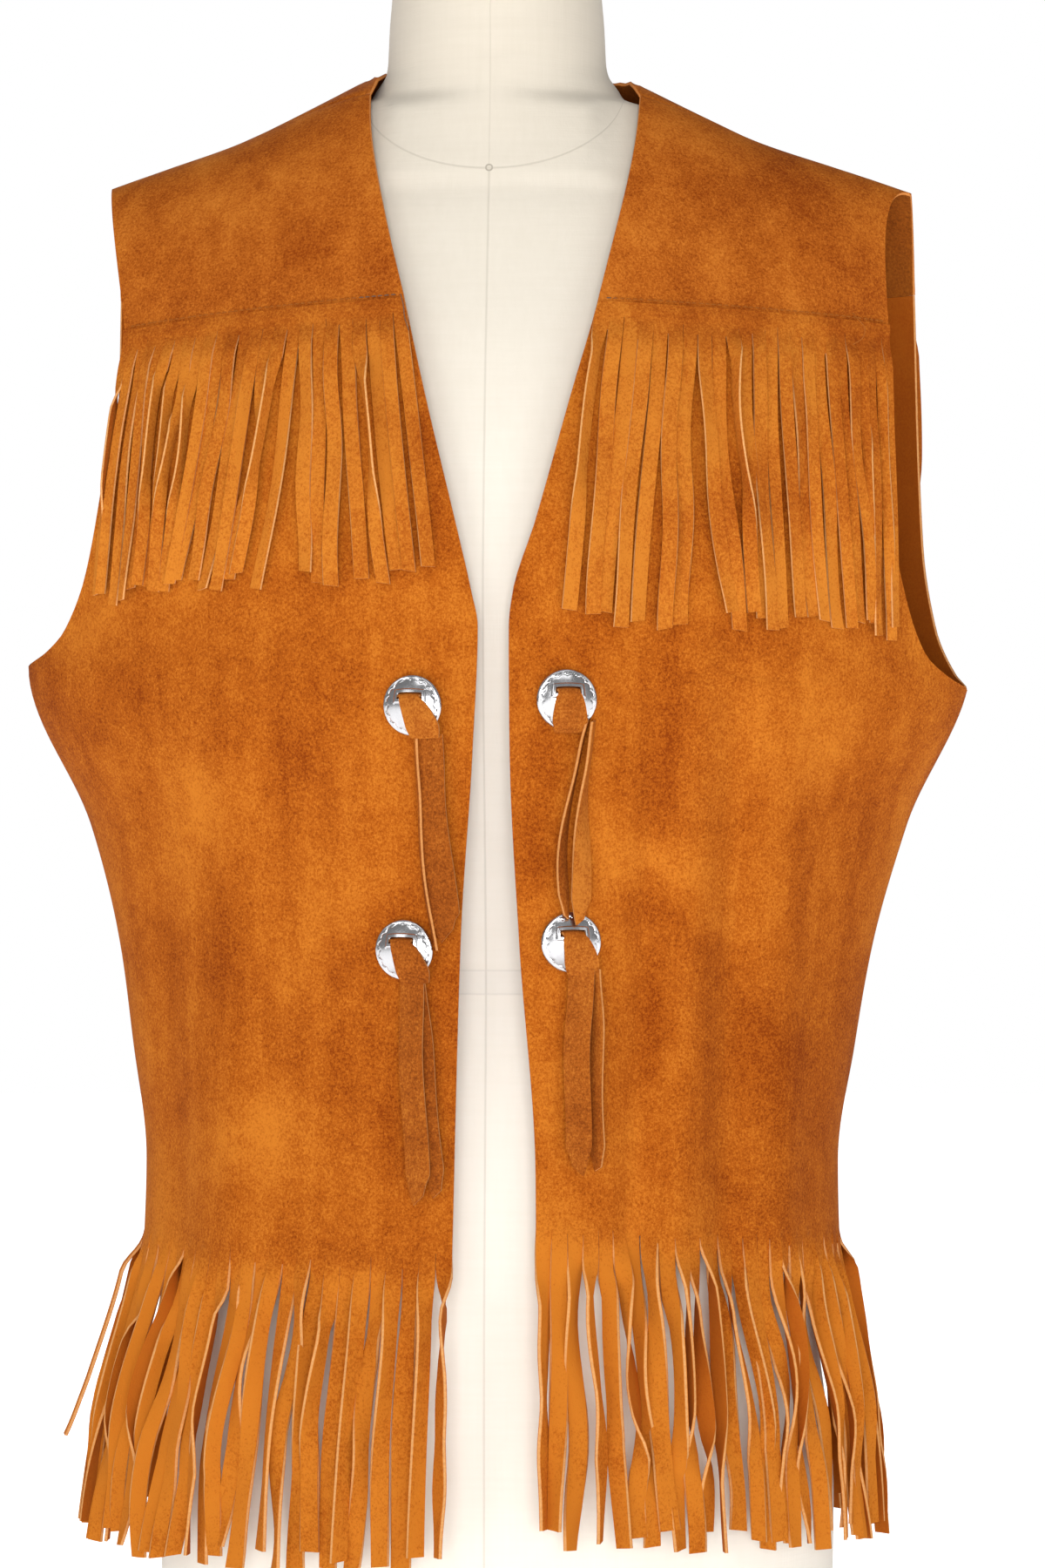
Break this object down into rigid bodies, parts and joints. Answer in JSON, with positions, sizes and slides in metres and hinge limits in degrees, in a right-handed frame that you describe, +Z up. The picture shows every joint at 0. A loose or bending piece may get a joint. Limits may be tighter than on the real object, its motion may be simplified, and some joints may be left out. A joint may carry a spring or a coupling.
{
  "type": "fringed suede vest on a limbless dress form",
  "caption": "Open-front suede vest with fringed yokes and hem, silver conchos and suede ties, worn on a linen-covered dress form with a short post and a round foot",
  "frame": {"origin": "on the surface that the dress form stands on, at the middle of its round foot", "axes": "+Z up; the vest's front faces -Y; the wearer's left side is at +X"},
  "size_m": [0.4544, 0.2775, 0.9463],
  "materials": {
    "suede": "rust-orange suede with a soft mottled nap",
    "suede_fringe": "the same suede cut into narrow strands with paler cut edges",
    "suede_tie": "the same suede, a little darker, cut into thongs",
    "silver": "polished silver-coloured metal with fine engraving",
    "form_linen": "tightly stretched ivory linen",
    "form_wood": "satin varnished beech",
    "form_iron": "dark enamelled steel"
  },
  "bodies": {
    "root": {"front_left": "suede", "front_right": "suede", "back": "suede", "yoke_left": "suede", "yoke_right": "suede", "yoke_back": "suede", "yoke_fringe_left": "suede_fringe", "yoke_fringe_right": "suede_fringe", "yoke_fringe_back": "suede_fringe", "hem_fringe_left": "suede_fringe", "hem_fringe_right": "suede_fringe", "hem_fringe_back": "suede_fringe", "concho_upper_left": "silver", "concho_lower_left": "silver", "concho_upper_right": "silver", "concho_lower_right": "silver", "tie_upper_left": "suede_tie", "tie_lower_left": "suede_tie", "tie_upper_right": "suede_tie", "tie_lower_right": "suede_tie", "form_body": "form_linen", "form_neck_cap": "form_wood", "form_foot": "form_wood", "form_post": "form_iron"}
  },
  "joints": []
}
